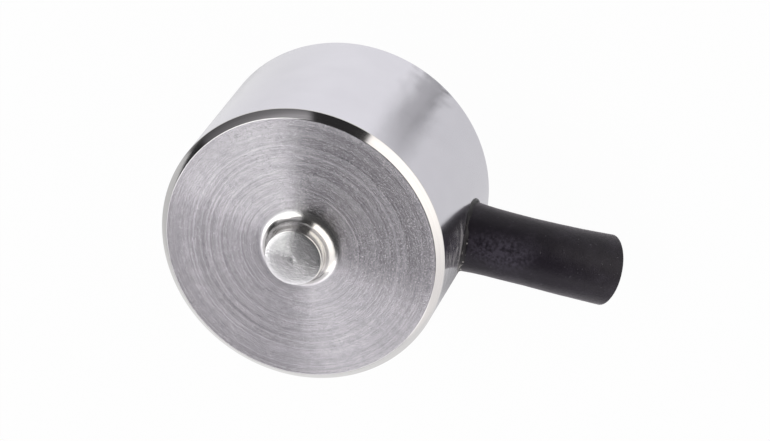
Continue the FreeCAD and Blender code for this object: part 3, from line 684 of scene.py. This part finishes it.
# %% Route of the lead
STRAIGHT = 1.55
BEND_RADIUS = 7.25
BEND_ANGLE = math.radians(34.7)
LEAN = math.radians(22.5)
BEND_START = CAN_RADIUS + STRAIGHT
inwards = Vector((0, -math.sin(LEAN), -math.cos(LEAN)))
bend_axis = Vector((1, 0, 0)).cross(inwards)
bend_middle = Vector((BEND_START, 0, LEAD_HEIGHT)) + inwards * BEND_RADIUS
lead_turn = Matrix.Rotation(BEND_ANGLE, 3, bend_axis)
lead_end = bend_middle + lead_turn @ (-inwards * BEND_RADIUS)
lead_heading = lead_turn @ Vector((1, 0, 0))


def along_lead(point):
    """Distance of a point from the wall along the lead, and the middle of the lead beside it."""
    if point.x <= BEND_START:
        return point.x - CAN_RADIUS, Vector((point.x, 0, LEAD_HEIGHT))
    from_middle = point - bend_middle
    angle = math.atan2(from_middle.x, -from_middle.dot(inwards))
    beside = bend_middle + Matrix.Rotation(angle, 3, bend_axis) @ (-inwards * BEND_RADIUS)
    return STRAIGHT + BEND_RADIUS * angle, beside


print("lead ends at", [round(value, 3) for value in lead_end])

# %% [markdown]
# The sleeve is soft tube pushed over the lead.
# A circle is extruded for the straight and spun round the centre of the droop for the bend.
# Rubber tube is never quite even. This one is swollen where the resin grips it, narrow behind that, and opens a
# little at its free end, so each ring is then scaled by its distance from the wall.

# %% Sleeve
SLEEVE_WALL = 0.468
SHORTER = 0.06 / BEND_RADIUS
RING_POINTS, STRAIGHT_STEPS, BEND_STEPS = 120, 12, 40


def tube_wall(shape, radius):
    """One round wall from inside the can to the free end. Gives the edges of its two ends."""
    stand = Matrix.Translation((SLEEVE_START, 0, LEAD_HEIGHT)) @ Matrix.Rotation(math.pi / 2, 4, "Y")
    ring = bmesh.ops.create_circle(shape, segments=RING_POINTS, radius=radius, matrix=stand)["verts"]
    first = list({edge for vertex in ring for edge in vertex.link_edges})
    edges = first
    for step in range(STRAIGHT_STEPS):
        made = bmesh.ops.extrude_edge_only(shape, edges=edges)["geom"]
        edges = [item for item in made if isinstance(item, bmesh.types.BMEdge)]
        verts = [item for item in made if isinstance(item, bmesh.types.BMVert)]
        edges = [edge for edge in edges if all(vertex in verts for vertex in edge.verts)]
        bmesh.ops.translate(shape, verts=verts, vec=((BEND_START - SLEEVE_START) / STRAIGHT_STEPS, 0, 0))
    spun = bmesh.ops.spin(shape, geom=edges + verts, cent=bend_middle, axis=bend_axis, angle=BEND_ANGLE - SHORTER,
                          steps=BEND_STEPS)
    last = [item for item in spun["geom_last"] if isinstance(item, bmesh.types.BMEdge)]
    return first, last


def swell(distance):
    opening = max(0.0, (distance - 2.4) / 3.5)
    return 0.978 + 0.045 * math.exp(-1.6 * max(0.0, distance)) + 0.056 * opening ** 1.3


sleeve = bmesh.new()
outer_first, outer_last = tube_wall(sleeve, SLEEVE_RADIUS)
outside = sleeve.verts[:]
inner_first, inner_last = tube_wall(sleeve, SLEEVE_RADIUS - SLEEVE_WALL)
for vertex in outside:
    distance, middle = along_lead(vertex.co)
    lump = 0.006 * noise.noise(vertex.co * 1.1) + 0.003 * noise.noise(vertex.co * 4)
    vertex.co = middle + (vertex.co - middle) * (swell(distance) + lump)
bmesh.ops.bridge_loops(sleeve, edges=outer_first + inner_first)
bmesh.ops.bridge_loops(sleeve, edges=outer_last + inner_last)
bmesh.ops.bevel(sleeve, geom=outer_last, offset=0.025, offset_type="OFFSET", affect="EDGES", segments=3, profile=0.5,
                material=-1)
bmesh.ops.recalc_face_normals(sleeve, faces=sleeve.faces)
shade_smooth(sleeve, 40)
print("sleeve has", len(sleeve.faces), "faces and swells from", round(swell(0), 3), "to", round(swell(5.94), 3))

# %% [markdown]
# The rubber is black and dull, with a violet cast, a soft sheen at grazing angles and a fine grain.
# Fingers left a dusty smear behind the root and pale scuffs elsewhere. Fixed grey spots would look painted on,
# so the dust is a noise that also makes the surface rougher where it lies.

# %% Rubber
def plain(name, colour, roughness, metal=0.0, gloss=0.5):
    finish = bpy.data.materials.new(name)
    finish.use_nodes = True
    shader = finish.node_tree.nodes["Principled BSDF"]
    shader.inputs["Base Color"].default_value = (*colour, 1)
    shader.inputs["Roughness"].default_value = roughness
    shader.inputs["Metallic"].default_value = metal
    shader.inputs["Specular IOR Level"].default_value = gloss
    return finish, finish.node_tree, shader


rubber, tree, shader = plain("dusty_rubber", (0.01, 0.009, 0.012), roughness=0.5, gloss=0.28)
fine = grain(tree, 0.05, 4.0)
dust = times(tree, ramp(tree, grain(tree, 0.9, 5.0), 0.42, 0.72), ramp(tree, fine, 0.3, 0.7))
smear = patch(tree, (7.4, 0.3, 4.2), (0.5, 1, 1), 0.2, 1.0)
smear = times(tree, smear, ramp(tree, grain(tree, 0.14, 5.0), 0.30, 0.7, 0.0, 1.25))
dust = plus(tree, times(tree, dust, 0.45), smear)
scuffs = ramp(tree, grain(tree, 0.1, 3.0), 0.70, 0.74)
dusty = two_tone(tree, dust, (0.0108, 0.0080, 0.0142), (0.066, 0.058, 0.080))
join(shader, "Base Color", two_tone(tree, scuffs, dusty, (0.11, 0.105, 0.12)))
join(shader, "Roughness", ramp(tree, dust, 0.0, 0.8, 0.42, 0.62))
relief(tree, shader, plus(tree, fine, grain(tree, 0.3, 2.0)), 0.012)
shader.inputs["Sheen Weight"].default_value = 0.28
shader.inputs["Sheen Roughness"].default_value = 0.4
shader.inputs["Sheen Tint"].default_value = (0.98, 0.89, 1.0, 1)
finish_piece(sleeve, "rubber_sleeve", [rubber], ["strain_relief_sleeve"])

# %% [markdown]
# Dark resin is cast round the sleeve in the wall, and a bead of it creeps up into the corner outside.
# Its section is spun round the lead, then each ring is pushed back to the can's round wall, and noise makes it lumpy
# as drops of resin are. A small drop stands where the dispensing needle was lifted off.

# %% Resin bead
BEAD = 0.18
RIM = 0.05
LIFT = 0.004
DEPTH = 0.76
grip = SLEEVE_RADIUS * swell(0) - 0.012
rim_radius = SEAL_RADIUS + RIM
plug_radius = SEAL_RADIUS - 0.015
bead_section = [(-DEPTH, grip), (-DEPTH, plug_radius), (-0.05, plug_radius), (LIFT, rim_radius)]
for step in range(1, 8):
    angle = math.pi / 2 * step / 8
    bead_section.append((BEAD * (1 - math.cos(angle)) + LIFT, grip + (rim_radius - grip) * (1 - math.sin(angle))))
bead_section.append((BEAD + LIFT, grip))
resin_bead = bmesh.new()
points = [resin_bead.verts.new((CAN_RADIUS + out, 0, LEAD_HEIGHT + radius)) for out, radius in bead_section]
for first, second in zip(points, points[1:] + points[:1]):
    resin_bead.edges.new((first, second))
bmesh.ops.spin(resin_bead, geom=resin_bead.verts[:] + resin_bead.edges[:], cent=(0, 0, LEAD_HEIGHT), axis=(1, 0, 0),
               angle=math.tau, steps=144, use_merge=True)
bmesh.ops.remove_doubles(resin_bead, verts=resin_bead.verts, dist=1e-4)
bmesh.ops.recalc_face_normals(resin_bead, faces=resin_bead.faces)
drop_way = Vector((0, 0.91, -0.41)).normalized()
for vertex in resin_bead.verts:
    out = vertex.co.x - CAN_RADIUS
    from_axis = Vector((0, vertex.co.y, vertex.co.z - LEAD_HEIGHT))
    share = min(1.0, max(0.0, (out - 0.01) / 0.08)) if from_axis.length > grip + 0.01 else 0.0
    lump = 0.05 * noise.noise(vertex.co * 1.3) + 0.03 * noise.noise(vertex.co * 4.5)
    drop = 0.07 * math.exp(-((from_axis.normalized() - drop_way).length / 0.14) ** 2)
    back = math.sqrt(CAN_RADIUS ** 2 - vertex.co.y ** 2) - CAN_RADIUS
    vertex.co += from_axis.normalized() * (share * (lump + drop))
    if out > -0.7:
        vertex.co.x += back * min(1.0, (out + 0.7) / 0.5)
shade_smooth(resin_bead, 50)
print("resin bead is", round(grip, 3), "mm in radius inside and", round(rim_radius, 3), "mm at its rim")

# %% [markdown]
# The resin is nearly black and glossy. Pale crumbs stick to it on the side of the face, with a few threads beside
# them. Loose pieces of geometry would be too small to see, so they are tones with a little relief and less gloss.

# %% Resin
resin, tree, shader = plain("glossy_resin", (0.011, 0.0095, 0.0115), roughness=0.3, gloss=0.3)
shade = grain(tree, 0.3, 3.0)
crumbs = patch(tree, (6.1, 0.3, 4.6), (1, 1, 1), 0.6, 1.5)
crumbs = times(tree, crumbs, ramp(tree, grain(tree, 0.11, 3.0), 0.60, 0.68))
threads = patch(tree, (6.05, -0.95, 3.95), (1, 1, 1), 0.25, 0.55)
threads = times(tree, threads, ramp(tree, grain(tree, 0.17, 3.0), 0.50, 0.57))
specks = sum_node(tree, "MAXIMUM", crumbs, threads)
dark = two_tone(tree, shade, (0.008, 0.007, 0.0085), (0.018, 0.016, 0.019))
join(shader, "Base Color", two_tone(tree, specks, dark, (0.42, 0.40, 0.39)))
join(shader, "Roughness", ramp(tree, specks, 0.0, 1.0, 0.3, 0.55))
relief(tree, shader, plus(tree, shade, specks), 0.015)
finish_piece(resin_bead, "resin_bead", [resin], ["exit_seal"])

# %% [markdown]
# At the free end the lead is cut square. Each conductor shows the seven strands of its copper, standing a hair proud
# of the insulation, and the screen shows the ends of its fine wires. The strands are short tapered rods, turned to
# the lead's heading and set on circles.

# %% Helpers for cut strands
def cut_strand(shape, across, along, radius, proud):
    place = lead_end + lead_turn @ Vector((0, across, along)) + lead_heading * (proud / 2 - 0.01)
    stand = Matrix.Translation(place) @ lead_heading.to_track_quat("Z", "Y").to_matrix().to_4x4()
    bmesh.ops.create_cone(shape, cap_ends=True, segments=10, radius1=radius, radius2=radius * 0.82,
                          depth=proud + 0.02, matrix=stand)


def bare_wire(name, colour, low, high):
    finish, tree, shader = plain(name, colour, roughness=0.3, metal=1.0)
    shade = grain(tree, 0.03, 2.0)
    join(shader, "Base Color", two_tone(tree, shade, low, high))
    relief(tree, shader, shade, 0.003)
    return finish


print("strands point along", [round(value, 3) for value in lead_heading])

# %% [markdown]
# A stranded conductor is one strand with six round it. The four bundles are twisted a little against each other,
# and no two strands are cut to quite the same length, so each gets a chance length.

# %% Copper strands
CONDUCTOR_OFFSET = 0.26
STRAND_RADIUS = 0.042
copper_strands = bmesh.new()
for side in (-1, 1):
    for height in (-1, 1):
        for turn_by in [None] + [math.radians(60 * number + 12 * side) for number in range(6)]:
            across, along = side * CONDUCTOR_OFFSET, height * CONDUCTOR_OFFSET
            if turn_by is not None:
                across += 2.05 * STRAND_RADIUS * math.cos(turn_by)
                along += 2.05 * STRAND_RADIUS * math.sin(turn_by)
            cut_strand(copper_strands, across, along, STRAND_RADIUS, chance.uniform(0.03, 0.06))
bare_copper = bare_wire("cut_copper", (0.8, 0.42, 0.26), (0.62, 0.30, 0.18), (0.88, 0.52, 0.36))
finish_piece(copper_strands, "copper_strands", [bare_copper])

# %% [markdown]
# The screen is a braid of fine tinned wires. Where it is cut, only their ends show, so a ring of short rods that
# lie in turn a little further in and out stands for the crossing wires.

# %% Screen strands
SCREEN_MIDDLE = 0.688
SCREEN_WAVE = 0.02
SCREEN_WIRES = 44
SCREEN_WIRE_RADIUS = 0.026
screen_strands = bmesh.new()
for number in range(SCREEN_WIRES):
    angle = math.tau * number / SCREEN_WIRES
    radius = SCREEN_MIDDLE + (SCREEN_WAVE if number % 2 else -SCREEN_WAVE)
    cut_strand(screen_strands, radius * math.cos(angle), radius * math.sin(angle), SCREEN_WIRE_RADIUS,
               chance.uniform(0.02, 0.05))
tinned = bare_wire("tinned_wire", (0.72, 0.71, 0.69), (0.58, 0.57, 0.56), (0.80, 0.79, 0.77))
finish_piece(screen_strands, "screen_strands", [tinned])

# %% [markdown]
# The solids inside the can and the lead keep their own shapes and get finishes of what they are made of.
# Where one solid holds two materials, such as a wire with its bare tip, the finish changes at a known height.

# %% Helpers for the inner solids
def dress(finish, *nodes):
    for node in nodes:
        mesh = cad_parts[node].data
        mesh.materials.clear()
        mesh.materials.append(finish)
    print(finish.name, "on", ", ".join(nodes))


def height_of(tree):
    return split_node(tree, place_of(tree))["Z"]


def lively(name, low, high, roughness, size, depth, metal=0.0):
    """A finish of two near tones in grains of a size, with a fine relief."""
    finish, tree, shader = plain(name, low, roughness, metal)
    shade = grain(tree, size, 3.0)
    join(shader, "Base Color", two_tone(tree, shade, low, high))
    join(shader, "Roughness", ramp(tree, shade, 0.3, 0.7, roughness * 0.85, roughness * 1.15))
    relief(tree, shader, shade, depth)
    return finish


def in_two_parts(name, part, first, second, roughness, metals, size, depth):
    """A finish that is first where part is 0 and second where it is 1; each is a pair of near tones."""
    finish, tree, shader = plain(name, first[0], roughness)
    shade = grain(tree, size, 3.0)
    share = part(tree)
    tones = two_tone(tree, share, two_tone(tree, shade, *first), two_tone(tree, shade, *second))
    join(shader, "Base Color", tones)
    join(shader, "Metallic", ramp(tree, share, 0.0, 1.0, *metals))
    relief(tree, shader, shade, depth)
    return finish


def above(height):
    return lambda tree: ramp(tree, height_of(tree), (height - 0.005) * MM, (height + 0.005) * MM)


COPPER = ((0.66, 0.33, 0.2), (0.86, 0.5, 0.34))
print("copper is between", COPPER[0], "and", COPPER[1])

# %% [markdown]
# The ring-shaped board is green laminate with copper lands on both sides. The gauges are amber film with a metal foil
# underneath, and flat copper ribbons join them to the board.
# Layers could be separate pieces, but each is thinner than a hair, so a change of finish with the height is enough.

# %% Board and gauges
def on_lands(tree):
    middle = (board_low[2] + board_high[2]) / 2
    from_middle = sum_node(tree, "ABSOLUTE", sum_node(tree, "SUBTRACT", height_of(tree), middle * MM))
    half = (board_high[2] - board_low[2]) / 2 - LAND
    return ramp(tree, from_middle, (half + 0.002) * MM, (half + 0.008) * MM)


NUMBERS = range(1, 5)
LAMINATE = ((0.03, 0.15, 0.07), (0.06, 0.24, 0.12))
FILM = ((0.50, 0.22, 0.05), (0.66, 0.34, 0.09))
FOIL = ((0.58, 0.54, 0.46), (0.74, 0.70, 0.60))
FILM_FROM = size_of("strain_gauge_1")[1][2] - 0.05
dress(in_two_parts("board_laminate", on_lands, LAMINATE, COPPER, 0.38, (0.0, 1.0), 0.12, 0.004), "terminal_board")
gauge_film = in_two_parts("gauge_film", above(FILM_FROM), FOIL, FILM, 0.32, (1.0, 0.0), 0.1, 0.002)
dress(gauge_film, *[f"strain_gauge_{number}" for number in NUMBERS])
ribbon = lively("ribbon_copper", *COPPER, 0.34, 0.08, 0.003, 1.0)
dress(ribbon, *[f"gauge_wires_{number}" for number in NUMBERS])

# %% [markdown]
# A chip resistor is black glaze on ceramic with a tinned terminal at each end.
# The terminals are no pieces of their own in the model, so the finish changes at a distance from the chip's middle,
# measured along the chip, which lies turned to its bearing on the board.

# %% Chips
CHIPS = {"zero_balance_resistor": 115, "zero_drift_resistor": 155, "span_resistor_1": 205, "span_resistor_2": 245}
GLAZE = ((0.02, 0.02, 0.024), (0.05, 0.05, 0.056))
TIN = ((0.62, 0.61, 0.58), (0.80, 0.79, 0.76))
for chip, bearing in CHIPS.items():
    chip_low, chip_high = size_of(chip)
    chip_middle = [(low + high) / 2 * MM for low, high in zip(chip_low, chip_high)]

    def on_terminal(tree):
        inputs = {"Vector": place_of(tree), "Location": chip_middle, "Rotation": (0, 0, math.radians(bearing))}
        local = add_node(tree, "ShaderNodeMapping", inputs, vector_type="TEXTURE").outputs[0]
        along = sum_node(tree, "ABSOLUTE", split_node(tree, local)["Y"])
        return ramp(tree, along, 0.297 * MM, 0.303 * MM)

    dress(in_two_parts(chip + "_glaze", on_terminal, GLAZE, TIN, 0.3, (0.0, 1.0), 0.09, 0.003), chip)

# %% [markdown]
# The four conductors have coloured insulation that is stripped just below the board, where bare copper is soldered.
# Solder is bright, the crimped ring that holds the lead is brass, and the jacket and the braid end with the sleeve.
# Plain colours would do for parts this small, but two near tones and a fine relief keep a close view natural.

# %% Wires, solder and anchor
STRIPPED = board_low[2] - 0.4
INSULATION = {
    "red_wire": ((0.46, 0.02, 0.018), (0.60, 0.04, 0.03)),
    "black_wire": ((0.012, 0.012, 0.013), (0.03, 0.03, 0.032)),
    "green_wire": ((0.02, 0.24, 0.07), (0.04, 0.34, 0.11)),
    "white_wire": ((0.70, 0.70, 0.67), (0.80, 0.80, 0.77)),
}
for wire, tones in INSULATION.items():
    dress(in_two_parts(wire + "_cover", above(STRIPPED), tones, COPPER, 0.4, (0.0, 1.0), 0.15, 0.004), wire)
dress(lively("bright_solder", (0.66, 0.66, 0.66), (0.82, 0.82, 0.82), 0.22, 0.12, 0.006, 1.0), "solder_joints")
dress(lively("anchor_brass", (0.66, 0.48, 0.2), (0.82, 0.64, 0.32), 0.32, 0.1, 0.004, 1.0), "anchor_ring")
dress(lively("lead_jacket", (0.02, 0.02, 0.022), (0.045, 0.045, 0.048), 0.5, 0.08, 0.006), "lead_jacket")
dress(lively("screen_braid", (0.46, 0.45, 0.44), (0.76, 0.75, 0.73), 0.38, 0.05, 0.012, 1.0), "lead_shield")

# %% [markdown]
# The back cover is a disc, faced on the lathe like the can and pressed into its seat.
# It carries the same marks round the axis, a little coarser.

# %% Back cover
ground_cover, tree, shader = steel("ground_cover", (0.6, 0.6, 0.61), roughness=0.32, spread=0.8)
lines = marks(tree, 0.09, 1.2)
join(shader, "Base Color", two_tone(tree, lines, (0.52, 0.52, 0.53), (0.70, 0.70, 0.71)))
relief(tree, shader, lines, 0.008)
dress(ground_cover, "back_cover")
